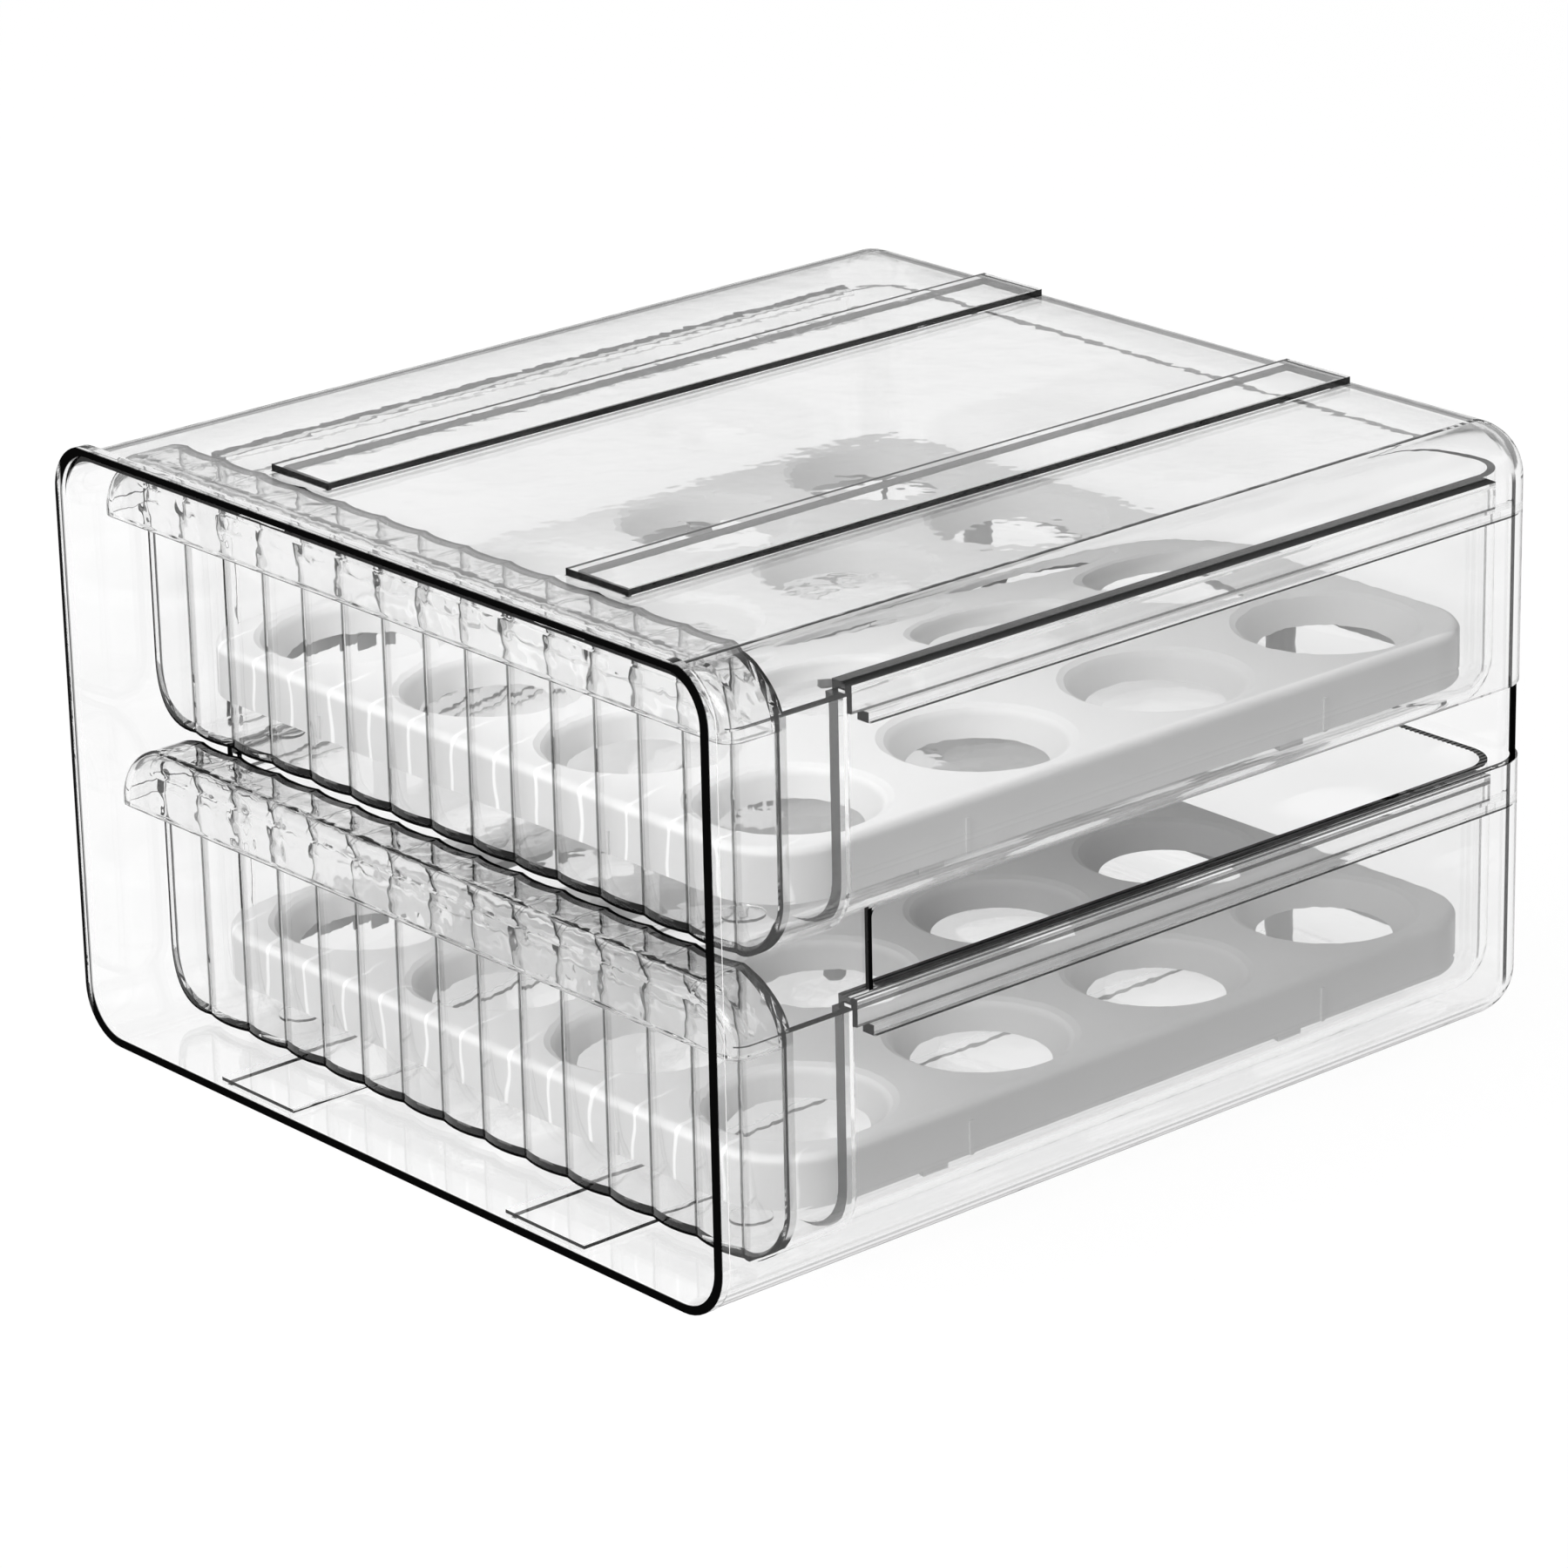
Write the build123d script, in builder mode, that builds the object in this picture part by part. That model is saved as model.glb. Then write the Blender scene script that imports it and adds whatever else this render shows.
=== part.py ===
from build123d import *
from math import sqrt
import os

# Egg cups: a grid of dished holes, one egg to each
cups_across = 4
cups_deep = 4
cup_pitch_x = 48.5
cup_pitch_y = 52.0
cup_mouth_radius = 20.4
cup_hole_radius = 15.2
cup_depth = 5.8
cup_lip_chamfer = 0.9

# Egg tray: the plate that the cups are in, its skirt and its pegs
tray_margin = 0.5
tray_wall = 1.5
tray_height = 19.2
tray_skirt_height = 12.0
tray_corner_radius = 17.0
tray_edge_fillet = 1.8
peg_radius = 3.3
peg_inset = 15.8
peg_tip_chamfer = 0.9
middle_peg_radius = 2.7
middle_peg_shift = -2.2
middle_peg_lift = 3.7
tab_length = 7.0
tab_height = 1.8
tab_offset = 9.0
mark_width = 1.0
mark_height = 7.5
mark_proud = 0.4
front_mark_height = 5.2

# Drawer: an open box with a fluted front plate and a hood to pull by
drawer_wall = 1.8
drawer_height = 64.4
drawer_side_height = 55.8
drawer_return_height = 53.6
drawer_bottom_radius = 14.0
drawer_back_radius = 10.0
tray_side_gap = 2.1
tray_front_gap = 1.5
tray_back_gap = 1.2
panel_thickness = 2.0
panel_top_radius = 13.0
panel_side_gap = 2.1
flute_count = 15
flute_bulge = 1.1
head_depth = 18.8
lip_reach = 12.6
lip_drop = 13.8
lip_wall = 1.8
lip_nose_radius = 4.2
foot_radius = 4.5
foot_height = 0.6
foot_side_inset = 25.4
foot_end_inset = 13.6

# Side flange: a ledge with a skirt that rides on the housing's runner
flange_drop = 6.0
flange_wall = 1.6
flange_side_gap = 1.3

# Runners inside the housing
runner_width = 3.4
runner_height = 2.2
runner_body_gap = 1.5
runner_top_gap = 0.2
runner_setback = 3.5

# Housing: a sleeve, closed at the back and open at the front
housing_wall = 1.8
tier_pitch = 67.0
floor_gap = 1.8
top_gap = 1.0
drawer_back_gap = 1.2
lip_setback = 8.2
housing_corner_radius = 12.0
housing_back_radius = 11.0
rim_proud = 0.4
rim_length = 2.4
rim_wall = 2.0
mouth_depth = 1.2

# Window through each side wall, between the tiers
window_height = 17.6
window_above_flange = 2.3
window_setback = 2.5
window_wrap = 5.6
window_corner_radius = 2.2

# Stacking rails on top and the grooves that match them underneath
stack_rail_x = 49.2
stack_rail_width = 19.5
stack_rail_height = 1.6
stack_rail_setback = 22.0
stack_rail_end_gap = 9.5
stack_groove_width = 22.0
stack_groove_depth = 0.8
stack_groove_setback = 2.6

# Widths worked out from the tray outwards
tray_width = cups_across * cup_pitch_x + 2 * tray_margin
tray_depth = cups_deep * cup_pitch_y + tray_margin
body_width = tray_width + 2 * (tray_side_gap + drawer_wall)
inner_width = body_width + 2 * (runner_body_gap + runner_width)
head_width = inner_width - 2 * panel_side_gap
flange_width = inner_width - 2 * flange_side_gap
shell_width = inner_width + 2 * housing_wall
rim_width = shell_width + 2 * rim_proud

# Places from front to back, with the origin in the middle of the depth
panel_offset = lip_setback + lip_reach
tray_offset = panel_offset + panel_thickness + tray_front_gap
drawer_back_offset = tray_offset + tray_depth + tray_back_gap + drawer_wall
housing_depth = drawer_back_offset + drawer_back_gap + housing_wall
rim_y = -housing_depth / 2
back_y = housing_depth / 2
lip_y = rim_y + lip_setback
panel_y = rim_y + panel_offset
panel_back_y = panel_y + panel_thickness
head_back_y = panel_y + head_depth
tray_front_y = rim_y + tray_offset
tray_y = tray_front_y + tray_depth / 2
drawer_back_y = rim_y + drawer_back_offset
runner_y = head_back_y + runner_setback

# From the tray's middle to the outermost webs between cups
web_reach_x = (cups_across / 2 - 1) * cup_pitch_x
web_reach_y = (cups_deep / 2 - 1) * cup_pitch_y

# Heights, with the origin under the housing
lower_z = housing_wall + floor_gap
upper_z = lower_z + tier_pitch
ceiling_z = upper_z + drawer_height + top_gap
plate_z = ceiling_z + housing_wall
rim_top_z = plate_z + stack_rail_height
window_z = lower_z + drawer_side_height + window_above_flange


def facing_front(y, z=0.0):
    """Plane across the object at depth y, its normal towards the front."""
    return Plane(origin=(0, y, z), x_dir=(1, 0, 0), z_dir=(0, -1, 0))


def rounded_outline(width, height, top_radius, bottom_radius):
    """Draws a centred rectangle with rounded corners in the open sketch."""
    Rectangle(width, height)
    fillet(vertices().group_by(Axis.Y)[-1], top_radius)
    fillet(vertices().group_by(Axis.Y)[0], bottom_radius)


def open_outline(width, height, bottom_radius):
    """Draws a centred rectangle with rounded bottom corners in the open sketch."""
    Rectangle(width, height)
    fillet(vertices().group_by(Axis.Y)[0], bottom_radius)


def make_housing():
    """Sleeve with its rim, runners, windows, stacking rails and grooves."""
    # The space inside, less the runners and the pads over the grooves
    with BuildPart() as cavity:
        with BuildSketch(facing_front(back_y - housing_wall, (ceiling_z + housing_wall) / 2)):
            inner_radius = housing_corner_radius - housing_wall
            rounded_outline(inner_width, ceiling_z - housing_wall, inner_radius, inner_radius)
        extrude(amount=housing_depth)
        back_face = faces().sort_by(Axis.Y)[-1]
        fillet(back_face.edges(), housing_back_radius - housing_wall)
        for tier_z in (lower_z, upper_z):
            runner_top_z = tier_z + drawer_side_height - flange_drop - runner_top_gap
            wall_x = inner_width / 2
            with Locations((-wall_x, runner_y, runner_top_z), (wall_x, runner_y, runner_top_z)):
                Box(
                    2 * runner_width,
                    housing_depth,
                    runner_height,
                    align=(Align.CENTER, Align.MIN, Align.MAX),
                    mode=Mode.SUBTRACT,
                )
        with Locations((0, rim_y + stack_groove_setback, housing_wall)):
            with GridLocations(2 * stack_rail_x, 0, 2, 1):
                Box(
                    stack_groove_width + 2 * housing_wall,
                    housing_depth,
                    stack_groove_depth,
                    align=(Align.CENTER, Align.MIN, Align.MIN),
                    mode=Mode.SUBTRACT,
                )
        # Hollow under each stacking rail, so that its wall is as thick as the rest
        with Locations((0, rim_y + stack_rail_setback + housing_wall, ceiling_z)):
            with GridLocations(2 * stack_rail_x, 0, 2, 1):
                Box(
                    stack_rail_width - 2 * housing_wall,
                    housing_depth - stack_rail_setback - stack_rail_end_gap - 2 * housing_wall,
                    2 * stack_rail_height,
                    align=(Align.CENTER, Align.MIN, Align.CENTER),
                )
        # Mouth, a little taller than the sleeve behind it
        mouth_height = rim_top_z - rim_wall - housing_wall
        with BuildSketch(facing_front(rim_y + mouth_depth, housing_wall + mouth_height / 2)):
            rounded_outline(inner_width, mouth_height, inner_radius, inner_radius)
        extrude(amount=2 * mouth_depth)

    with BuildPart() as housing:
        with BuildSketch(facing_front(back_y, plate_z / 2)):
            rounded_outline(shell_width, plate_z, housing_corner_radius, housing_corner_radius)
        extrude(amount=housing_depth)
        back_face = faces().sort_by(Axis.Y)[-1]
        fillet(back_face.edges(), housing_back_radius)
        with BuildSketch(facing_front(rim_y + rim_length, rim_top_z / 2)):
            rounded_outline(rim_width, rim_top_z, housing_corner_radius, housing_corner_radius)
        extrude(amount=rim_length)
        with Locations((0, rim_y + stack_rail_setback, rim_top_z)):
            with GridLocations(2 * stack_rail_x, 0, 2, 1):
                Box(
                    stack_rail_width,
                    housing_depth - stack_rail_setback - stack_rail_end_gap,
                    stack_rail_height + housing_wall,
                    align=(Align.CENTER, Align.MIN, Align.MAX),
                )
        add(cavity.part, mode=Mode.SUBTRACT)
        # Grooves underneath
        with Locations((0, rim_y + stack_groove_setback, 0)):
            with GridLocations(2 * stack_rail_x, 0, 2, 1):
                Box(
                    stack_groove_width,
                    housing_depth,
                    stack_groove_depth,
                    align=(Align.CENTER, Align.MIN, Align.MIN),
                    mode=Mode.SUBTRACT,
                )
        # Windows, which run out through the rounded back corners
        window_front_y = head_back_y + window_setback
        window_length = back_y - window_front_y + housing_wall
        for side in (-1, 1):
            with BuildSketch(Plane.YZ.offset(side * (shell_width / 2 - window_wrap))):
                with Locations((window_front_y + window_length / 2, window_z + window_height / 2)):
                    Rectangle(window_length, window_height)
                fillet(vertices().group_by(Axis.X)[0], window_corner_radius)
            extrude(amount=side * 2 * window_wrap, mode=Mode.SUBTRACT)
    return housing.part


def make_fluted_panel(base_z):
    """Front plate whose outside and inside are rows of shallow arcs."""
    pitch = head_width / flute_count
    edges_x = [-head_width / 2 + pitch * i for i in range(flute_count + 1)]
    with BuildPart() as panel:
        with BuildSketch(Plane.XY.offset(base_z)):
            with BuildLine():
                for surface_y in (panel_y, panel_back_y):
                    for left_x, right_x in zip(edges_x, edges_x[1:]):
                        crest = ((left_x + right_x) / 2, surface_y - flute_bulge)
                        ThreePointArc((left_x, surface_y), crest, (right_x, surface_y))
                for side_x in (edges_x[0], edges_x[-1]):
                    Line((side_x, panel_y), (side_x, panel_back_y))
            make_face()
        extrude(amount=drawer_height)
        with BuildSketch(facing_front(panel_back_y, base_z + drawer_height / 2)):
            rounded_outline(head_width, drawer_height, panel_top_radius, drawer_bottom_radius)
        extrude(amount=2 * panel_thickness + flute_bulge, mode=Mode.INTERSECT)
    return panel.part


def make_lip(base_z):
    """Hood along the top of the front plate, open underneath for the fingers."""
    middle_z = base_z + drawer_height / 2
    root_y = panel_y + panel_thickness / 2
    with BuildPart() as inside:
        with BuildSketch(facing_front(root_y, middle_z)):
            rounded_outline(
                head_width - 2 * lip_wall,
                drawer_height - 2 * lip_wall,
                panel_top_radius - lip_wall,
                drawer_bottom_radius - lip_wall,
            )
        extrude(amount=root_y - lip_y - lip_wall)
        fillet(faces().sort_by(Axis.Y)[0].edges(), lip_nose_radius - lip_wall)
    with BuildPart() as lip:
        with BuildSketch(facing_front(root_y, middle_z)):
            rounded_outline(head_width, drawer_height, panel_top_radius, drawer_bottom_radius)
        extrude(amount=root_y - lip_y)
        fillet(faces().sort_by(Axis.Y)[0].edges(), lip_nose_radius)
        add(inside.part, mode=Mode.SUBTRACT)
        with Locations((0, root_y, base_z + drawer_height - lip_drop)):
            Box(
                2 * head_width,
                4 * lip_reach,
                2 * drawer_height,
                align=(Align.CENTER, Align.CENTER, Align.MAX),
                mode=Mode.SUBTRACT,
            )
    return lip.part


def make_drawer(base_z):
    """Open box, its wider head, its side flanges, the fluted panel and the lip."""
    web_y = head_back_y - drawer_wall
    inner_radius = drawer_bottom_radius - drawer_wall
    body_inner_width = body_width - 2 * drawer_wall
    panel = make_fluted_panel(base_z)
    lip = make_lip(base_z)

    with BuildPart() as hollow:
        with BuildSketch(facing_front(drawer_back_y - drawer_wall, base_z + drawer_wall + drawer_height / 2)):
            open_outline(body_inner_width, drawer_height, inner_radius)
        extrude(amount=drawer_back_y - drawer_wall - panel_back_y)
        back_face = faces().sort_by(Axis.Y)[-1]
        rounded = back_face.edges().sort_by(Axis.Z)[:-1]
        fillet(rounded, drawer_back_radius - drawer_wall)
        with BuildSketch(facing_front(web_y, base_z + drawer_wall + drawer_height / 2)):
            open_outline(head_width - 2 * drawer_wall, drawer_height, inner_radius)
        extrude(amount=web_y - panel_y + flute_bulge)

    with BuildPart() as drawer:
        with BuildSketch(facing_front(drawer_back_y, base_z + drawer_side_height / 2)):
            open_outline(body_width, drawer_side_height, drawer_bottom_radius)
        extrude(amount=drawer_back_y - head_back_y)
        back_face = faces().sort_by(Axis.Y)[-1]
        fillet(back_face.edges().sort_by(Axis.Z)[:-1], drawer_back_radius)
        with BuildSketch(facing_front(head_back_y, base_z + drawer_return_height / 2)):
            open_outline(head_width, drawer_return_height, drawer_bottom_radius)
        extrude(amount=head_depth - panel_thickness / 2)
        # Flanges: a ledge out from each side wall, and a skirt down from its edge
        flange_length = drawer_back_y - drawer_back_radius - head_back_y
        flange_reach = (flange_width - body_width) / 2 + drawer_wall / 2
        for side in (-1, 1):
            flange_x = side * flange_width / 2
            toward_body = Align.MIN if side < 0 else Align.MAX
            with Locations((flange_x, head_back_y, base_z + drawer_side_height)):
                Box(flange_reach, flange_length, flange_wall, align=(toward_body, Align.MIN, Align.MAX))
                Box(flange_wall, flange_length, flange_drop, align=(toward_body, Align.MIN, Align.MAX))
        add(hollow.part, mode=Mode.SUBTRACT)
        add(panel)
        add(lip)
        # Round feet under the floor
        feet_apart_x = body_width - 2 * foot_side_inset
        feet_apart_y = drawer_back_y - panel_y - 2 * foot_end_inset
        with Locations((0, (panel_y + drawer_back_y) / 2, base_z)):
            with GridLocations(feet_apart_x, feet_apart_y, 2, 2):
                Cylinder(foot_radius, foot_height, align=(Align.CENTER, Align.CENTER, Align.MAX))
    return drawer.part


def make_egg_tray(floor_z):
    """Plate of dished cups with a skirt, standing on pegs on the drawer's floor."""
    top_z = floor_z + tray_height
    skirt_z = top_z - tray_skirt_height
    with BuildPart() as underside:
        with BuildSketch(Plane.XY.offset(skirt_z)):
            with Locations((0, tray_y)):
                RectangleRounded(
                    tray_width - 2 * tray_wall,
                    tray_depth - 2 * tray_wall,
                    tray_corner_radius - tray_wall,
                )
        extrude(amount=tray_skirt_height - tray_wall)

    # One cup: the dish with its bevelled lip, and the funnel around it
    slope = cup_mouth_radius - cup_hole_radius
    with BuildPart() as dish:
        with BuildSketch(Plane.XZ):
            with BuildLine():
                Polyline(
                    (0, -cup_depth),
                    (cup_hole_radius, -cup_depth),
                    (cup_mouth_radius, 0),
                    (cup_mouth_radius + slope, 0),
                    (cup_mouth_radius + slope, cup_depth),
                    (0, cup_depth),
                    close=True,
                )
            make_face()
            chamfer(vertices().sort_by_distance((cup_mouth_radius, 0, 0))[0], cup_lip_chamfer)
        revolve(axis=Axis.Z)

    with BuildPart() as tray:
        with BuildSketch(Plane.XY.offset(skirt_z)):
            with Locations((0, tray_y)):
                RectangleRounded(tray_width, tray_depth, tray_corner_radius)
        extrude(amount=tray_skirt_height)
        fillet(faces().sort_by(Axis.Z)[-1].edges(), tray_edge_fillet)
        add(underside.part, mode=Mode.SUBTRACT)
        with Locations((0, tray_y, top_z)):
            with GridLocations(cup_pitch_x, cup_pitch_y, cups_across, cups_deep):
                Cone(
                    cup_hole_radius + tray_wall,
                    cup_mouth_radius + tray_wall,
                    cup_depth,
                    align=(Align.CENTER, Align.CENTER, Align.MAX),
                )
        with Locations((0, tray_y, top_z)):
            with GridLocations(cup_pitch_x, cup_pitch_y, cups_across, cups_deep):
                add(dish.part, mode=Mode.SUBTRACT)
        # Pegs to stand on, at the front and the back, and a shorter one in the middle
        peg_length = tray_height - tray_wall / 2
        standing = (Align.CENTER, Align.CENTER, Align.MIN)
        with Locations((0, tray_y + middle_peg_shift, floor_z + middle_peg_lift)):
            Cylinder(middle_peg_radius, peg_length - middle_peg_lift, align=standing)
        chamfer(edges().group_by(Axis.Z)[0], peg_tip_chamfer)
        with Locations((0, tray_y, floor_z)):
            with GridLocations(2 * web_reach_x, tray_depth - 2 * peg_inset, 2, 2):
                Cylinder(peg_radius, peg_length, align=standing)
        chamfer(edges().group_by(Axis.Z)[0], peg_tip_chamfer)
        # Tabs under the side skirts, set in to clear the drawer's curved bottom, and marks beside the webs
        curve_radius = drawer_bottom_radius - drawer_wall
        curve_rise = max(0.0, curve_radius - (skirt_z - tab_height - floor_z))
        curve_reach = curve_radius - sqrt(curve_radius**2 - curve_rise**2)
        tab_x = tray_width / 2 - max(0.0, curve_reach - tray_side_gap / 2)
        for web in (-1, 1):
            web_y = tray_y + web * web_reach_y
            for side in (-1, 1):
                inward = Align.MIN if side < 0 else Align.MAX
                with Locations((side * tab_x, web_y - tab_offset, skirt_z)):
                    Box(tray_wall, tab_length, 2 * tab_height, align=(inward, Align.CENTER, Align.CENTER))
                with Locations((side * tray_width / 2, web_y, skirt_z)):
                    Box(2 * mark_proud, mark_width, mark_height, align=standing)
            with Locations((web * web_reach_x, tray_front_y, skirt_z)):
                Box(mark_width, 2 * mark_proud, front_mark_height, align=standing)
    return tray.part


def save(part, name):
    """Labels a finished piece and writes it under its name."""
    part.label = name
    export_step(part, f"parts/{name}.step")


os.makedirs("parts", exist_ok=True)
save(make_housing(), "housing")
for tier, tier_z in (("lower", lower_z), ("upper", upper_z)):
    save(make_drawer(tier_z), f"{tier}_drawer")
    save(make_egg_tray(tier_z + drawer_wall), f"{tier}_egg_tray")
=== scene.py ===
"""Looks for the two-tier egg drawer: clear moulded plastic and grey cup trays in a white studio."""

import math

import bpy
from mathutils import Matrix, Vector


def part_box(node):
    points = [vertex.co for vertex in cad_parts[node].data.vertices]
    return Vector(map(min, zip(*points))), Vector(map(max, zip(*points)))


MM = 0.001
FLOOR_DROP = 0.4 * MM
FLOOR_REACH = 9.0

CAMERA_AT = Vector((1.014242, -0.884344, 0.556576))
CAMERA_AZIMUTH = math.radians(49.110)
CAMERA_DIP = math.radians(20.368)
CAMERA_ROLL = math.radians(-1.256)
SENSOR_WIDTH = 36.0
FOCAL_PIXELS = 7485.66
IMAGE_SIDE = 1800

# Sizes of the clear pieces, as in the part's source
FLUTES = 15
FLUTE_BULGE = 1.1 * MM
LIP_REACH = 12.6 * MM
PANEL_THICK = 2.0 * MM
PANEL_CORNER = 13.5 * MM
FOOT_HEIGHT = 0.6 * MM
DRAWER_HEIGHT = 64.4 * MM
HEAD_DEPTH = 18.8 * MM
HEAD_HALF = 104.2 * MM
HEAD_TOP = 53.6 * MM
WALL = 1.8 * MM
FLANGE_TOP = 55.8 * MM
FLANGE_DROP = 6.0 * MM
FLANGE_WALL = 1.6 * MM
FLANGE_HALF = 105.0 * MM
FLANGE_RIB = 0.7 * MM
HEAD_BACK = 39.6 * MM
RUNNER_GAP = 3.5 * MM
RUNNER_TOPS = (53.2 * MM, 120.2 * MM)
RUNNER_HEIGHT = 2.2 * MM
SHELL_HALF = 108.1 * MM
INNER_HALF = 106.3 * MM
PLATE_TOP = 137.8 * MM
RAIL_X = 49.2 * MM
RAIL_HALF = 9.75 * MM
RIM_TOP = 139.4 * MM
RAIL_SETBACK = 22.0 * MM
WINDOW_LOW = 61.7 * MM
WINDOW_HIGH = 79.3 * MM
WINDOW_GAP = 2.5 * MM
WINDOW_WRAP = 5.6 * MM
SHELL_CORNER = 12.0 * MM
SHELL_BACK_CORNER = 11.0 * MM
DRAWER_HALF = 101.4 * MM
DRAWER_BACK_CORNER = 10.0 * MM

# How clear and uneven the clear plastic is, the tone of the black painted on its edges as painted shade, and
# the painted grey shade on the drawers' hoods
CLEAR_TONE = 0.995
CLEAR_IOR = 1.49
ABSORB = 3.0
SHADOW_TONE = 0.93
PAINTED_SHADE_TONE = 0.003
SMEAR_ROUGHNESS = 0.03
SKIN_DEPTH = 0.04 * MM
HOOD_UNEVEN = 7.0
HOOD_PAINTED_SHADE = 0.02
HOOD_TOP_PAINTED_SHADE = 0.04

# Painted shade where a clear edge looks dark: the fade at a line's sides, the reach of a line, and how dark
# each kind is
FADE = 0.1 * MM
LINE_REACH = 0.12 * MM
LINE_FADE = 0.08 * MM
RIM_LEFT_PAINTED_SHADE = 0.8
RAIL_INSIDE_PAINTED_SHADE = 0.4
RAIL_END_PAINTED_SHADE = 0.6
SILL_PAINTED_SHADE = 0.9
RUNNER_ROOT_PAINTED_SHADE = 0.9
UPRIGHT_PAINTED_SHADE = 0.85
LOWER_CORNER_PAINTED_SHADE = 0.3
RIB_PAINTED_SHADE = 0.9
SKIRT_PAINTED_SHADE = 0.8
FLANGE_FOOT_PAINTED_SHADE = 0.6
HEAD_TOP_PAINTED_SHADE = 0.9
HOOD_VALLEY_PAINTED_SHADE = 0.4
DRAWER_UPRIGHT_PAINTED_SHADE = 0.5

# Degrees that a rounded corner faces where it carries a painted dark line (painted shade), picked to match
# the photograph's view.
# The lines are on the right only, so they are missing or out of place from the left and from behind.
SLEEVE_UPRIGHT_AIM = 8
SLEEVE_FOOT_AIM = -32
SLEEVE_SOLE_AIM = -56
DRAWER_UPRIGHT_AIM = 6

# Where the floor seen through the clear plastic starts and stops darkening, in metres from its middle
FLOOR_NEAR = 0.75
FLOOR_FAR = 1.3

# Painted light and shade on the trays: streaks of light that the flutes throw on the trays' fronts, painted
# into their colour; painted shade beside them at the front; a painted lighter top that fades to the rear;
# and a random cloud in the tone
STREAK_PITCH = 14.0 * MM
STREAK_SLANT = 0.26
STREAK_WAVE = 5.0 * MM
STREAK_PAINTED_LIGHT = 0.3
FRONT_PAINTED_SHADE = 0.05
TRAY_TOP_PAINTED_LIGHT = 0.22
TRAY_CLOUD = 0.05

# White studio: the floor's glow, what far and mirrored rays lose of it, and the sky's tone by a ray's height
FLOOR_GLOW = 1.05
FLOOR_FAR_LOSS = 0.8
FLOOR_MIRROR_LOSS = 0.6
SKY = ((0.0, 0.25), (0.2, 0.3), (0.3, 0.8), (0.42, 0.8), (0.55, 0.3), (0.8, 0.35), (1.0, 0.55))

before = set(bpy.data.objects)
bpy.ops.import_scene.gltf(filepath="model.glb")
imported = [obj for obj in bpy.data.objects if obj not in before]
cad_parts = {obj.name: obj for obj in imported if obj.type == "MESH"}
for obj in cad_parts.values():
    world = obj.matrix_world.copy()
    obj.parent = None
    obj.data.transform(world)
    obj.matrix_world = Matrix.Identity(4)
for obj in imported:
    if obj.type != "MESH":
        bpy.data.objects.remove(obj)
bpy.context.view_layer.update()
scene = bpy.context.scene


def add_node(tree, kind, **values):
    node = tree.nodes.new(kind)
    for name, value in values.items():
        setattr(node, name, value)
    return node


def calc(tree, operation, *terms):
    """A Math node on sockets and numbers; returns its value."""
    node = add_node(tree, "ShaderNodeMath", operation=operation)
    for slot, term in zip(node.inputs, terms):
        if isinstance(term, (int, float)):
            slot.default_value = term
        else:
            tree.links.new(term, slot)
    return node.outputs[0]


def product(tree, *terms):
    value = terms[0]
    for term in terms[1:]:
        value = calc(tree, "MULTIPLY", value, term)
    return value


def union(tree, *masks):
    value = masks[0]
    for mask in masks[1:]:
        value = calc(tree, "MAXIMUM", value, mask)
    return value


def step(tree, value, start, end):
    """0 at start, 1 at end, smooth between; start may be above end."""
    node = add_node(tree, "ShaderNodeMapRange", interpolation_type="SMOOTHSTEP")
    tree.links.new(value, node.inputs["Value"])
    low, high = (0.0, 1.0) if start < end else (1.0, 0.0)
    node.inputs["From Min"].default_value = min(start, end)
    node.inputs["From Max"].default_value = max(start, end)
    node.inputs["To Min"].default_value = low
    node.inputs["To Max"].default_value = high
    return node.outputs["Result"]


def between(tree, value, low, high, soft):
    return product(tree, step(tree, value, low - soft, low), step(tree, value, high + soft, high))


def object_place(tree):
    """X, Y and Z of the point on the piece, which move with it."""
    place = add_node(tree, "ShaderNodeTexCoord")
    parts = add_node(tree, "ShaderNodeSeparateXYZ")
    tree.links.new(place.outputs["Object"], parts.inputs[0])
    return place.outputs["Object"], parts.outputs["X"], parts.outputs["Y"], parts.outputs["Z"]


def noise(tree, place, scale, detail, rough):
    node = add_node(tree, "ShaderNodeTexNoise")
    tree.links.new(place, node.inputs["Vector"])
    node.inputs["Scale"].default_value = scale
    node.inputs["Detail"].default_value = detail
    node.inputs["Roughness"].default_value = rough
    return node.outputs["Fac"]


def empty_material(name):
    material = bpy.data.materials.new(name)
    material.use_nodes = True
    material.node_tree.nodes.clear()
    return material, material.node_tree


def ray_is(tree, *kinds):
    """A value that is 1 for any of these kinds of ray."""
    path = add_node(tree, "ShaderNodeLightPath")
    return union(tree, *(path.outputs[kind] for kind in kinds))


def mix_shaders(tree, share, first, second):
    node = add_node(tree, "ShaderNodeMixShader")
    tree.links.new(share, node.inputs["Fac"])
    tree.links.new(first, node.inputs[1])
    tree.links.new(second, node.inputs[2])
    return node.outputs[0]


def near(tree, value, place, reach=LINE_REACH):
    """1 within reach of a place, for a flat face or an edge that lies there."""
    return between(tree, value, place - reach, place + reach, LINE_FADE)


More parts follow.
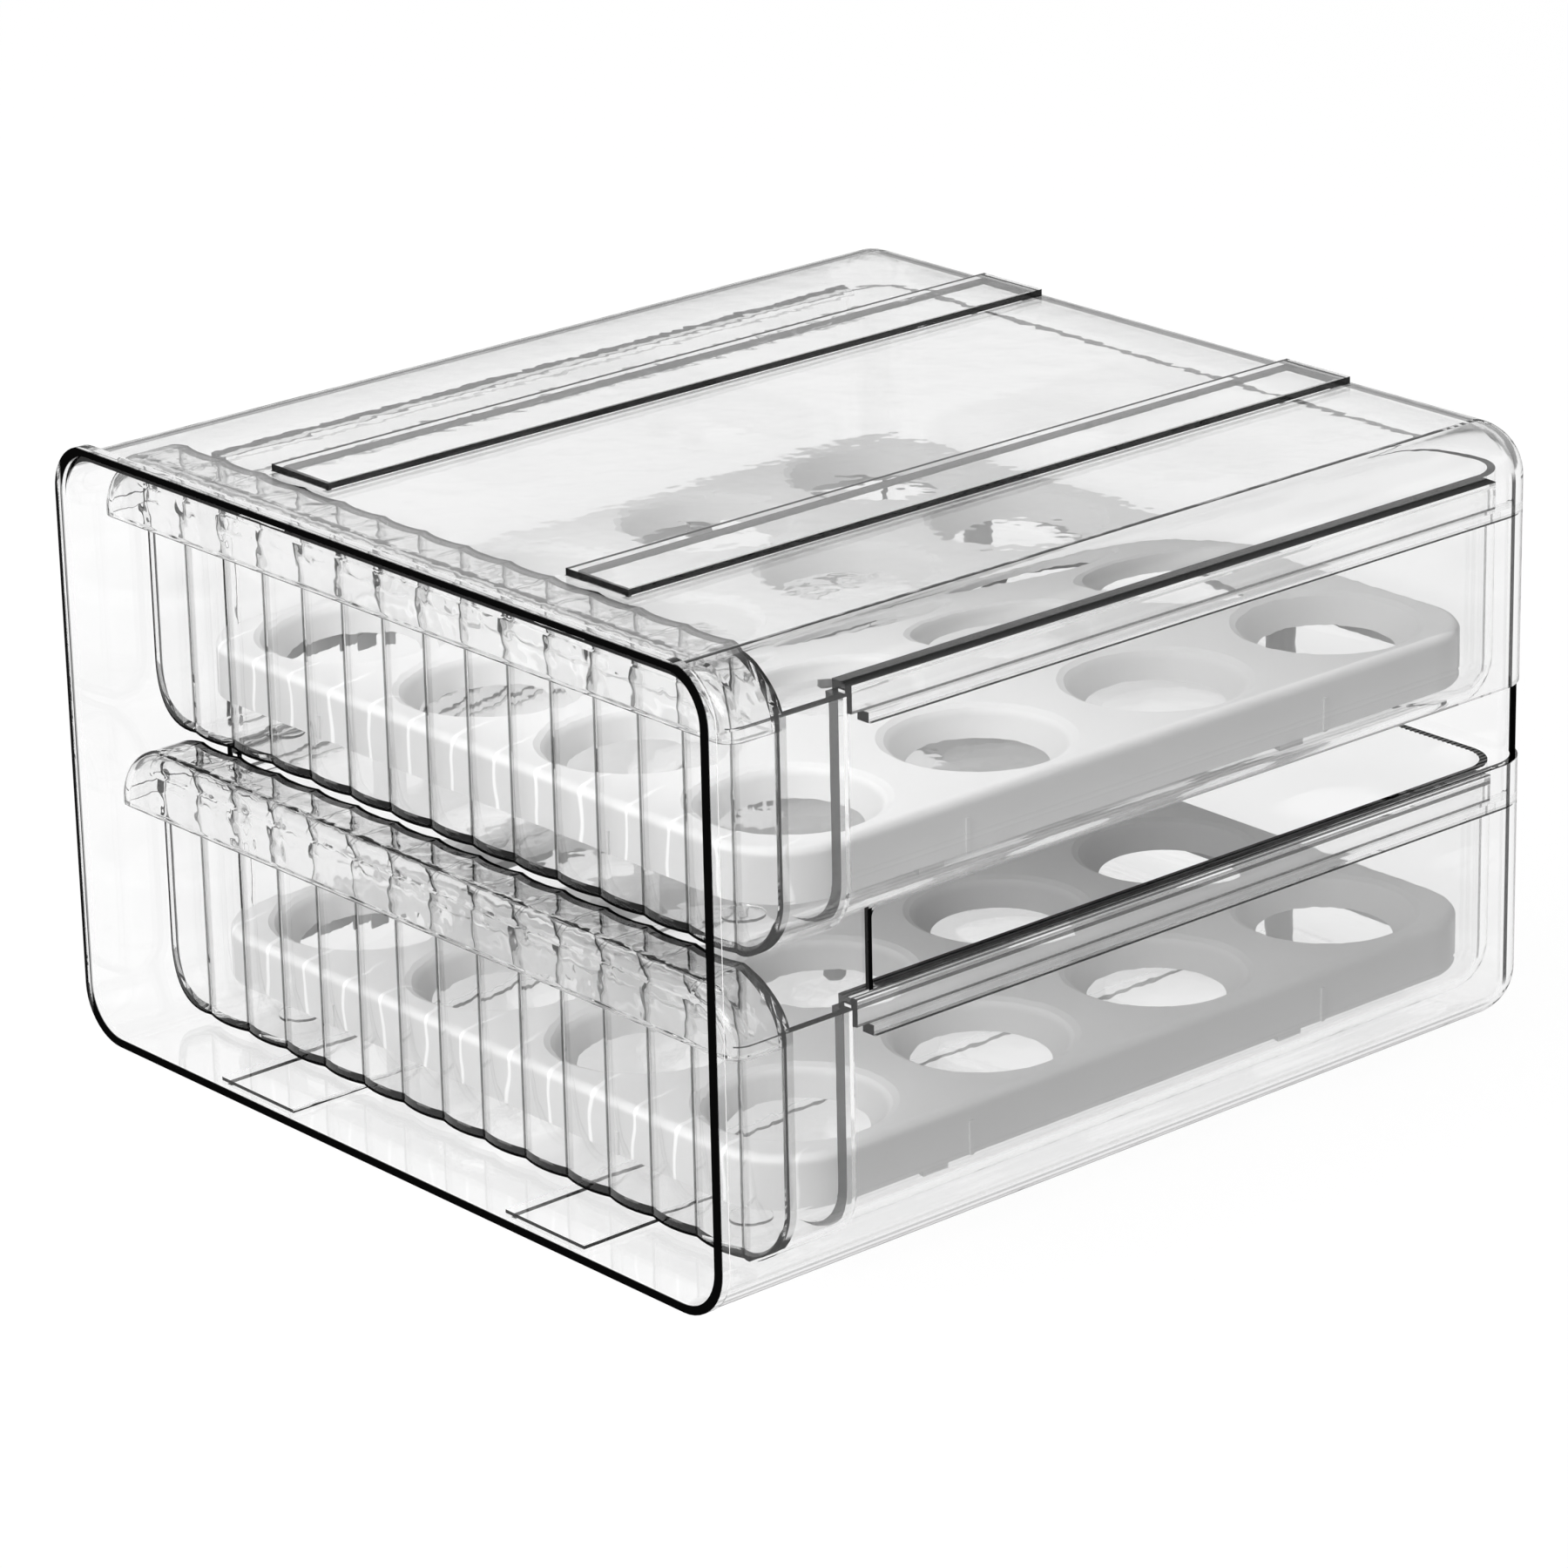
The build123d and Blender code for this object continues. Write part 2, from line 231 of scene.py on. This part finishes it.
def clear_plastic(name, painted_shade_and_skin):
    """Clear plastic. The given function tells where black is painted on its edges as painted shade, where
    painted grey shade lies on it, and how uneven its skin is.
    """
    material, tree = empty_material(name)
    place, x, y, z = object_place(tree)
    black, painted_grey_shade, uneven = painted_shade_and_skin(tree, place, x, y, z)
    glass = add_node(tree, "ShaderNodeBsdfPrincipled")
    glass.inputs["Transmission Weight"].default_value = 1
    glass.inputs["IOR"].default_value = CLEAR_IOR
    # The painted grey shade takes tone off the clear colour.
    if painted_grey_shade is None:
        glass.inputs["Base Color"].default_value = (CLEAR_TONE, CLEAR_TONE, CLEAR_TONE, 1)
    else:
        tree.links.new(calc(tree, "SUBTRACT", CLEAR_TONE, painted_grey_shade), glass.inputs["Base Color"])
    smears = noise(tree, place, 60, 3, 0.6)
    tree.links.new(calc(tree, "MULTIPLY", smears, SMEAR_ROUGHNESS), glass.inputs["Roughness"])
    height = noise(tree, place, 90, 2, 0.5)
    if uneven is not None:
        swell = noise(tree, place, 170, 1, 0.4)
        height = calc(tree, "MULTIPLY_ADD", swell, uneven, height)
    bump = add_node(tree, "ShaderNodeBump")
    bump.inputs["Strength"].default_value = 1.0
    bump.inputs["Distance"].default_value = SKIN_DEPTH
    tree.links.new(height, bump.inputs["Height"])
    tree.links.new(bump.outputs[0], glass.inputs["Normal"])
    # Painted shade: a black matt surface is mixed in where the edges are painted dark.
    painted_black = add_node(tree, "ShaderNodeBsdfDiffuse")
    painted_black.inputs["Color"].default_value = (PAINTED_SHADE_TONE, PAINTED_SHADE_TONE, PAINTED_SHADE_TONE, 1)
    edged = mix_shaders(tree, black, glass.outputs[0], painted_black.outputs[0])
    passing = add_node(tree, "ShaderNodeBsdfTransparent")
    passing.inputs["Color"].default_value = (SHADOW_TONE, SHADOW_TONE, SHADOW_TONE, 1)
    surface = mix_shaders(tree, ray_is(tree, "Is Shadow Ray"), edged, passing.outputs[0])
    volume = add_node(tree, "ShaderNodeVolumeAbsorption")
    volume.inputs["Color"].default_value = (0.0, 0.0, 0.0, 1)
    volume.inputs["Density"].default_value = ABSORB
    out = add_node(tree, "ShaderNodeOutputMaterial")
    tree.links.new(surface, out.inputs["Surface"])
    tree.links.new(volume.outputs[0], out.inputs["Volume"])
    return material


def rail_painted_shade(tree, x, y, z, front):
    """Painted shade: the two stacking rails' sides, painted dark."""
    masks = []
    for rail_x in (-RAIL_X, RAIL_X):
        foot = between(tree, z, PLATE_TOP - 0.1 * MM, PLATE_TOP + 1.4 * MM, FADE)
        left = product(tree, near(tree, x, rail_x - RAIL_HALF, 0.3 * MM), foot)
        inside = between(tree, x, rail_x + RAIL_HALF - WALL, rail_x + RAIL_HALF, 0.3 * MM)
        under = between(tree, z, PLATE_TOP - WALL - 0.1 * MM, PLATE_TOP - WALL + 0.6 * MM, 0.2 * MM)
        right = product(tree, inside, under, RAIL_INSIDE_PAINTED_SHADE)
        across = between(tree, x, rail_x - RAIL_HALF, rail_x + RAIL_HALF, FADE)
        raised = step(tree, z, PLATE_TOP, PLATE_TOP + 0.1 * MM)
        end = product(tree, near(tree, y, front + RAIL_SETBACK), across, raised, RAIL_END_PAINTED_SHADE)
        masks += [left, right, end]
    behind = step(tree, y, front + RAIL_SETBACK - 0.2 * MM, front + RAIL_SETBACK)
    return product(tree, union(tree, *masks), behind)


def window_painted_shade(tree, side, y, z, front, back):
    """Painted shade: the window's cut faces in each side wall, painted dark."""
    start = front + HEAD_BACK + WINDOW_GAP
    tall = between(tree, z, WINDOW_LOW, WINDOW_HIGH, FADE)
    outer = step(tree, side, INNER_HALF - 0.3 * MM, INNER_HALF - 0.1 * MM)
    first = product(tree, between(tree, y, start - 1.0 * MM, start + 0.1 * MM, FADE), tall, outer)
    sill = product(tree, near(tree, z, WINDOW_LOW), outer, step(tree, y, start - 0.2 * MM, start))
    sill = product(tree, sill, step(tree, side, SHELL_HALF - 0.5 * MM, SHELL_HALF - 0.2 * MM))
    rear = step(tree, y, back - 4 * MM, back - 3 * MM)
    last = product(tree, near(tree, side, SHELL_HALF - WINDOW_WRAP), tall, rear)
    return union(tree, first, product(tree, sill, SILL_PAINTED_SHADE), last)


def runner_painted_shade(tree, side, y, z, front):
    """Painted shade: the runners' front ends, painted dark."""
    masks = []
    for top in RUNNER_TOPS:
        tall = between(tree, z, top - RUNNER_HEIGHT, top, FADE)
        inside = step(tree, side, INNER_HALF, INNER_HALF - 0.1 * MM)
        masks.append(product(tree, near(tree, y, front + HEAD_BACK + RUNNER_GAP), tall, inside))
        behind = step(tree, y, front + HEAD_BACK + RUNNER_GAP, front + HEAD_BACK + RUNNER_GAP + 1 * MM)
        root = between(tree, side, INNER_HALF - 1.0 * MM, INNER_HALF, 0.2 * MM)
        masks.append(product(tree, near(tree, z, top - RUNNER_HEIGHT), root, behind, RUNNER_ROOT_PAINTED_SHADE))
    return union(tree, *masks)


def corner_line(tree, across, along, middle_across, middle_along, radius, aim, half):
    """A line on the outer skin of a rounded corner, where it faces aim degrees; half is half its width."""
    out = calc(tree, "SUBTRACT", across, middle_across)
    up = calc(tree, "SUBTRACT", along, middle_along)
    reach = calc(tree, "SQRT", calc(tree, "ADD", product(tree, out, out), product(tree, up, up)))
    angle = calc(tree, "ARCTAN2", up, out)
    turn = half / radius
    turned = between(tree, angle, math.radians(aim) - turn, math.radians(aim) + turn, 0.2 * MM / radius)
    return product(tree, turned, step(tree, reach, radius - 0.4 * MM, radius - 0.2 * MM))


def shell_corner_painted_shade(tree, x, y, z, back):
    """Painted shade: dark lines painted along the sleeve's rear upright corner and its long lower corner, on
    the right.
    """
    turn = SHELL_HALF - SHELL_BACK_CORNER, back - SHELL_BACK_CORNER
    upright = corner_line(tree, x, y, *turn, SHELL_BACK_CORNER, SLEEVE_UPRIGHT_AIM, 0.6 * MM)
    upright = product(tree, upright, between(tree, z, SHELL_CORNER, PLATE_TOP - SHELL_CORNER, 4 * MM))
    turn = SHELL_HALF - SHELL_CORNER, SHELL_CORNER
    foot = corner_line(tree, x, z, *turn, SHELL_CORNER, SLEEVE_FOOT_AIM, 0.4 * MM)
    sole = corner_line(tree, x, z, *turn, SHELL_CORNER, SLEEVE_SOLE_AIM, 0.5 * MM)
    long = step(tree, y, back - SHELL_BACK_CORNER, back - SHELL_BACK_CORNER - 4 * MM)
    lower = product(tree, union(tree, foot, sole), long, LOWER_CORNER_PAINTED_SHADE)
    return union(tree, product(tree, upright, UPRIGHT_PAINTED_SHADE), lower)


def housing_painted_shade(tree, place, x, y, z):
    """Where black is painted on the sleeve as painted shade. It has no painted grey shade, and its skin is
    even.
    """
    low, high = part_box("housing")
    side = calc(tree, "ABSOLUTE", x)
    # Painted shade: the front rim's end face, painted dark, with only a thin lighter strip along its left
    # bar.
    rim = step(tree, y, low.y + 0.5 * MM, low.y + 0.2 * MM)
    left = step(tree, x, low.x + 2.6 * MM, low.x + 1.6 * MM)
    thin = step(tree, x, low.x + 1.2 * MM, low.x + 0.8 * MM)
    kept = union(tree, calc(tree, "SUBTRACT", 1.0, left), product(tree, thin, RIM_LEFT_PAINTED_SHADE))
    rim = product(tree, rim, kept)
    rim = product(tree, rim, step(tree, z, RIM_TOP - 0.2 * MM, RIM_TOP - 0.6 * MM))
    black = union(
        tree,
        rim,
        rail_painted_shade(tree, x, y, z, low.y),
        window_painted_shade(tree, side, y, z, low.y, high.y),
        runner_painted_shade(tree, side, y, z, low.y),
        shell_corner_painted_shade(tree, x, y, z, high.y),
    )
    return black, None, None


def panel_inset(tree, x, z, base):
    """How far a point is inside the rounded outline of the front panel."""
    half_height = DRAWER_HEIGHT / 2
    side = calc(tree, "SUBTRACT", calc(tree, "ABSOLUTE", x), HEAD_HALF - PANEL_CORNER)
    rise = calc(tree, "ABSOLUTE", calc(tree, "SUBTRACT", z, base + half_height))
    rise = calc(tree, "SUBTRACT", rise, half_height - PANEL_CORNER)
    side = calc(tree, "MAXIMUM", side, 0.0)
    rise = calc(tree, "MAXIMUM", rise, 0.0)
    reach = calc(tree, "SQRT", calc(tree, "ADD", product(tree, side, side), product(tree, rise, rise)))
    return calc(tree, "SUBTRACT", PANEL_CORNER, reach)


def flute_side(tree, x):
    """How far a point is across its flute: 0 at the crest and 1 at the valley."""
    pitches = calc(tree, "DIVIDE", calc(tree, "ADD", x, HEAD_HALF), 2 * HEAD_HALF / FLUTES)
    across = calc(tree, "FRACT", pitches)
    return calc(tree, "ABSOLUTE", calc(tree, "MULTIPLY_ADD", across, 2.0, -1.0))


def flange_painted_shade(tree, side, y, z, front, base, ribbed_share):
    """Painted shade: the top and ends of the side flanges, and of the head's side walls, painted dark."""
    head_back = front + HEAD_DEPTH
    behind = step(tree, y, head_back - 0.1 * MM, head_back)
    flat = near(tree, z, base + FLANGE_TOP)
    inward = calc(tree, "PINGPONG", calc(tree, "SUBTRACT", side, FLANGE_HALF), FLANGE_RIB)
    ribbed = step(tree, inward, 0.35 * MM, 0.2 * MM)
    top = product(tree, flat, step(tree, side, FLANGE_HALF - 3.0 * MM, FLANGE_HALF - 2.5 * MM))
    ribs = product(tree, flat, ribbed, RIB_PAINTED_SHADE)
    below = between(tree, z, base + FLANGE_TOP - 2.0 * MM, base + FLANGE_TOP - 1.3 * MM, 0.2 * MM)
    skirt = step(tree, side, FLANGE_HALF - 0.2 * MM, FLANGE_HALF - 0.1 * MM)
    lines = union(tree, ribs, product(tree, below, skirt, SKIRT_PAINTED_SHADE))
    top = union(tree, product(tree, top, 1.0 - ribbed_share), product(tree, lines, ribbed_share))
    outer = step(tree, side, FLANGE_HALF - FLANGE_WALL - 0.1 * MM, FLANGE_HALF - FLANGE_WALL)
    foot = product(tree, near(tree, z, base + FLANGE_TOP - FLANGE_DROP), outer, FLANGE_FOOT_PAINTED_SHADE)
    tall = between(tree, z, base + FLANGE_TOP - FLANGE_DROP, base + FLANGE_TOP, FADE)
    end = product(tree, near(tree, y, head_back, 0.25 * MM), tall, outer)
    head = product(
        tree,
        near(tree, z, base + HEAD_TOP),
        step(tree, y, head_back, head_back - 0.2 * MM),
        step(tree, side, HEAD_HALF - WALL - 0.2 * MM, HEAD_HALF - WALL),
        HEAD_TOP_PAINTED_SHADE,
    )
    return union(tree, product(tree, union(tree, top, foot), behind), end, head)


def drawer_painted_shade_and_skin(node, ribbed_share):
    """Painted shade and skin of a drawer: black painted on its edges and flute valleys, painted grey shade
    on its hood, and its uneven hood skin. ribbed_share is 1 where the flanges' painted shade shows as a
    bundle of thin lines.
    """
    low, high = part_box(node)
    base = low.z + FOOT_HEIGHT
    front = low.y + LIP_REACH
    half_pitch = HEAD_HALF / FLUTES

    def painted_shade_and_skin(tree, place, x, y, z):
        # Painted shade: dark lines at the flute valleys across the panel, darker on its front skin and on
        # the hood.
        side = flute_side(tree, x)
        crest = calc(tree, "MULTIPLY_ADD", product(tree, side, side), FLUTE_BULGE, front - FLUTE_BULGE)
        deep = calc(tree, "SUBTRACT", y, crest)
        panel = between(tree, deep, -0.4 * MM, PANEL_THICK + 0.4 * MM, FADE)
        skin = step(tree, deep, 0.8 * MM, 0.5 * MM)
        valley = step(tree, side, 1 - 0.5 * MM / half_pitch, 1 - 0.25 * MM / half_pitch)
        hooded = step(tree, z, base + DRAWER_HEIGHT - 14 * MM, base + DRAWER_HEIGHT - 13 * MM)
        valley_painted_shade = calc(tree, "MULTIPLY_ADD", hooded, 0.25, calc(tree, "MULTIPLY_ADD", skin, 0.45, 0.25))
        line = product(tree, valley, panel, valley_painted_shade)
        # Painted shade: a dark outline along the panel's rounded edge, faint on its right side.
        foot = step(tree, z, base + 12 * MM, base + 9 * MM)
        turned = step(tree, x, HEAD_HALF - 1.5 * PANEL_CORNER, HEAD_HALF - 0.7 * PANEL_CORNER)
        bend = product(tree, foot, turned)
        inset = calc(tree, "MULTIPLY_ADD", bend, -0.7 * MM, panel_inset(tree, x, z, base))
        edge = step(tree, inset, 0.8 * MM, 0.5 * MM)
        right = step(tree, x, HEAD_HALF - 1.6 * MM, HEAD_HALF - 0.8 * MM)
        solid = calc(tree, "MULTIPLY_ADD", right, -0.8, 1.0)
        inner = step(tree, deep, 0.9 * MM, 1.2 * MM)
        leftmost = step(tree, x, 4 * MM - HEAD_HALF, 3 * MM - HEAD_HALF)
        shown = union(tree, inner, calc(tree, "SUBTRACT", 1.0, hooded), leftmost)
        outline = product(tree, edge, panel, shown, solid)
        flanges = flange_painted_shade(tree, calc(tree, "ABSOLUTE", x), y, z, front, base, ribbed_share)
        hood = product(tree, step(tree, y, front + 2 * MM, front), hooded)
        # Painted shade: wavy dark lines at the flute valleys over the hood's top band.
        shift = calc(tree, "MULTIPLY_ADD", noise(tree, place, 130, 2, 0.5), 5.0 * MM, -2.5 * MM)
        hood_valley_lines = step(tree, flute_side(tree, calc(tree, "ADD", x, shift)), 1 - 0.4 * MM / half_pitch, 1.0)
        lit_top = step(tree, z, high.z - 3.0 * MM, high.z - 2.0 * MM)
        hood_valley_lines = product(tree, hood_valley_lines, hood, lit_top, HOOD_VALLEY_PAINTED_SHADE)
        # Painted shade: a dark line on the rear upright corner, where it faces DRAWER_UPRIGHT_AIM degrees.
        turn = DRAWER_HALF - DRAWER_BACK_CORNER, high.y - DRAWER_BACK_CORNER
        upright = corner_line(tree, x, y, *turn, DRAWER_BACK_CORNER, DRAWER_UPRIGHT_AIM, 0.3 * MM)
        walled = between(tree, z, base + DRAWER_BACK_CORNER, base + HEAD_TOP, 3 * MM)
        # Painted grey shade on the hood, stronger on its top band.
        painted_grey_shade = product(tree, hood, noise(tree, place, 150, 1, 0.6), HOOD_PAINTED_SHADE)
        painted_grey_shade = calc(tree, "MULTIPLY_ADD", product(tree, hood, lit_top), HOOD_TOP_PAINTED_SHADE, painted_grey_shade)
        upright = product(tree, upright, walled, DRAWER_UPRIGHT_PAINTED_SHADE)
        black = union(tree, line, outline, flanges, hood_valley_lines, upright)
        return black, painted_grey_shade, product(tree, hood, HOOD_UNEVEN)

    return painted_shade_and_skin


def tray_plastic(name, node, base_tone, painted_rear_shade):
    """Light grey plastic with painted streaks of light and painted shade at its front, a painted lighter top
    that fades to the rear, and painted shade that takes the given share of its tone off its inner rear.
    """
    low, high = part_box(node)
    material, tree = empty_material(name)
    place, x, y, z = object_place(tree)
    shader = add_node(tree, "ShaderNodeBsdfPrincipled")
    back = calc(tree, "SUBTRACT", y, low.y)
    drift = calc(tree, "MULTIPLY_ADD", back, STREAK_SLANT, x)
    drift = calc(tree, "MULTIPLY_ADD", noise(tree, place, 70, 1, 0.5), STREAK_WAVE, drift)
    across = calc(tree, "FRACT", calc(tree, "DIVIDE", drift, STREAK_PITCH))
    side = calc(tree, "ABSOLUTE", calc(tree, "MULTIPLY_ADD", across, 2.0, -1.0))
    streak = step(tree, side, 0.9, 0.97)
    close = step(tree, back, 15 * MM, 3 * MM)
    soft = noise(tree, place, 35, 3, 0.5)
    upside = step(tree, z, high.z - 2.4 * MM, high.z - 0.8 * MM)
    length = high.y - low.y
    # Painted light: the top lighter at the front, fading to nothing at the rear.
    top_painted_light = calc(tree, "MULTIPLY_ADD", back, -TRAY_TOP_PAINTED_LIGHT / length, TRAY_TOP_PAINTED_LIGHT)
    tone = calc(tree, "MULTIPLY_ADD", soft, TRAY_CLOUD, calc(tree, "MULTIPLY_ADD", upside, top_painted_light, base_tone))
    # Painted shade: the inner rear darker by the given share.
    rear = step(tree, back, 0.35 * length, 0.9 * length)
    inside = step(tree, calc(tree, "ABSOLUTE", x), high.x - 2.0 * MM, high.x - 3.0 * MM)
    tone = product(tree, tone, calc(tree, "SUBTRACT", 1.0, product(tree, rear, inside, painted_rear_shade)))
    # Painted light and shade near the front: the streaks lighter, the rest of the front darker.
    front_painted_light_and_shade = calc(tree, "SUBTRACT", product(tree, streak, STREAK_PAINTED_LIGHT), FRONT_PAINTED_SHADE)
    tone_with_painted_light = calc(tree, "MULTIPLY_ADD", close, front_painted_light_and_shade, tone)
    tree.links.new(tone_with_painted_light, shader.inputs["Base Color"])
    fine = noise(tree, place, 900, 2, 0.5)
    tree.links.new(calc(tree, "MULTIPLY_ADD", fine, 0.12, 0.36), shader.inputs["Roughness"])
    bump = add_node(tree, "ShaderNodeBump")
    bump.inputs["Strength"].default_value = 0.15
    bump.inputs["Distance"].default_value = 0.05 * MM
    tree.links.new(fine, bump.inputs["Height"])
    tree.links.new(bump.outputs[0], shader.inputs["Normal"])
    out = add_node(tree, "ShaderNodeOutputMaterial")
    tree.links.new(shader.outputs[0], out.inputs["Surface"])
    return material


def dress(node, material):
    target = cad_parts[node]
    target.data.materials.clear()
    target.data.materials.append(material)


def add_floor():
    """White floor that glows for the camera and through the clear plastic, less so far away or mirrored."""
    mesh = bpy.data.meshes.new("floor")
    side = FLOOR_REACH
    corners = [(-side, -side, 0), (side, -side, 0), (side, side, 0), (-side, side, 0)]
    mesh.from_pydata(corners, [], [(0, 1, 2, 3)])
    floor = bpy.data.objects.new("floor", mesh)
    floor.location.z = -FLOOR_DROP
    scene.collection.objects.link(floor)
    material, tree = empty_material("floor_white")
    matt = add_node(tree, "ShaderNodeBsdfDiffuse")
    matt.inputs["Color"].default_value = (0.8, 0.8, 0.8, 1)
    glow = add_node(tree, "ShaderNodeEmission")
    place = add_node(tree, "ShaderNodeTexCoord")
    far = add_node(tree, "ShaderNodeVectorMath", operation="LENGTH")
    tree.links.new(place.outputs["Object"], far.inputs[0])
    unseen = calc(tree, "SUBTRACT", 1.0, ray_is(tree, "Is Camera Ray"))
    through = product(tree, ray_is(tree, "Is Transmission Ray"), unseen)
    fall = product(tree, through, step(tree, far.outputs["Value"], FLOOR_NEAR, FLOOR_FAR), FLOOR_FAR_LOSS)
    thrown = calc(tree, "SUBTRACT", 1.0, ray_is(tree, "Is Camera Ray", "Is Transmission Ray"))
    mirrored = product(tree, ray_is(tree, "Is Glossy Ray"), thrown, FLOOR_MIRROR_LOSS)
    tree.links.new(calc(tree, "SUBTRACT", FLOOR_GLOW, union(tree, fall, mirrored)), glow.inputs["Strength"])
    share = product(tree, ray_is(tree, "Is Camera Ray", "Is Glossy Ray", "Is Transmission Ray"), 0.9)
    surface = mix_shaders(tree, share, matt.outputs[0], glow.outputs[0])
    out = add_node(tree, "ShaderNodeOutputMaterial")
    tree.links.new(surface, out.inputs["Surface"])
    mesh.materials.append(material)


def light_world():
    """Grey sky in bands, so that clear edges that bend the view sideways look darker."""
    world = bpy.data.worlds.new("studio")
    scene.world = world
    world.use_nodes = True
    tree = world.node_tree
    tree.nodes.clear()
    place = add_node(tree, "ShaderNodeTexCoord")
    parts = add_node(tree, "ShaderNodeSeparateXYZ")
    tree.links.new(place.outputs["Generated"], parts.inputs[0])
    ramp = add_node(tree, "ShaderNodeValToRGB")
    stops = ramp.color_ramp.elements
    for index, (position, value) in enumerate(SKY):
        stop = stops[index] if index < 2 else stops.new(position)
        stop.position = position
        stop.color = (value, value, value, 1)
    tree.links.new(parts.outputs["Z"], ramp.inputs[0])
    sky = add_node(tree, "ShaderNodeBackground")
    tree.links.new(ramp.outputs[0], sky.inputs["Color"])
    out = add_node(tree, "ShaderNodeOutputWorld")
    tree.links.new(sky.outputs[0], out.inputs["Surface"])


def add_lamp(name, at, aim, size, power):
    data = bpy.data.lights.new(name, "AREA")
    data.shape = "RECTANGLE"
    data.size, data.size_y = size
    data.energy = power
    lamp = bpy.data.objects.new(name, data)
    lamp.location = at
    lamp.rotation_euler = (Vector(aim) - Vector(at)).to_track_quat("-Z", "Y").to_euler()
    scene.collection.objects.link(lamp)


def add_camera():
    """Camera at the photograph's place, with its turn and its focal length."""
    level = Vector((-math.sin(CAMERA_AZIMUTH), math.cos(CAMERA_AZIMUTH), 0))
    look = level * math.cos(CAMERA_DIP) - Vector((0, 0, math.sin(CAMERA_DIP)))
    right = look.cross(Vector((0, 0, 1))).normalized()
    up = right.cross(look)
    turn = math.cos(CAMERA_ROLL), math.sin(CAMERA_ROLL)
    right, up = right * turn[0] + up * turn[1], up * turn[0] - right * turn[1]
    data = bpy.data.cameras.new("camera")
    data.sensor_width = SENSOR_WIDTH
    data.lens = FOCAL_PIXELS * SENSOR_WIDTH / IMAGE_SIDE
    data.clip_start, data.clip_end = 0.05, 50
    camera = bpy.data.objects.new("camera", data)
    turned = Matrix((right, up, -look)).transposed().to_4x4()
    camera.matrix_world = Matrix.Translation(CAMERA_AT) @ turned
    scene.collection.objects.link(camera)
    scene.camera = camera


dress("housing", clear_plastic("clear_housing", housing_painted_shade))
# The two trays are one grey plastic: their tones differ a little by tier as painted shade, and only the
# upper tray has painted shade at its rear. The lower drawer's flanges carry their painted shade as thin
# lines, the upper's as a solid band.
for tier, ribbed_share, tray_tone, painted_rear_shade in (("lower", 1.0, 0.74, 0.0), ("upper", 0.0, 0.73, 0.3)):
    drawer, tray = f"{tier}_drawer", f"{tier}_egg_tray"
    dress(drawer, clear_plastic(f"clear_{tier}", drawer_painted_shade_and_skin(drawer, ribbed_share)))
    dress(tray, tray_plastic(f"{tier}_tray_grey", tray, tray_tone, painted_rear_shade))

add_floor()
light_world()
add_lamp("front", (0.45, -1.5, 0.75), (0, 0, 0.05), (0.9, 0.7), 10)
add_lamp("above", (-0.5, -0.5, 1.6), (0, 0, 0.05), (1.2, 1.2), 11)
add_camera()

scene.cycles.max_bounces = 28
scene.cycles.transmission_bounces = 28
scene.cycles.transparent_max_bounces = 32
scene.cycles.glossy_bounces = 8
scene.cycles.diffuse_bounces = 4
scene.view_settings.view_transform = "Standard"
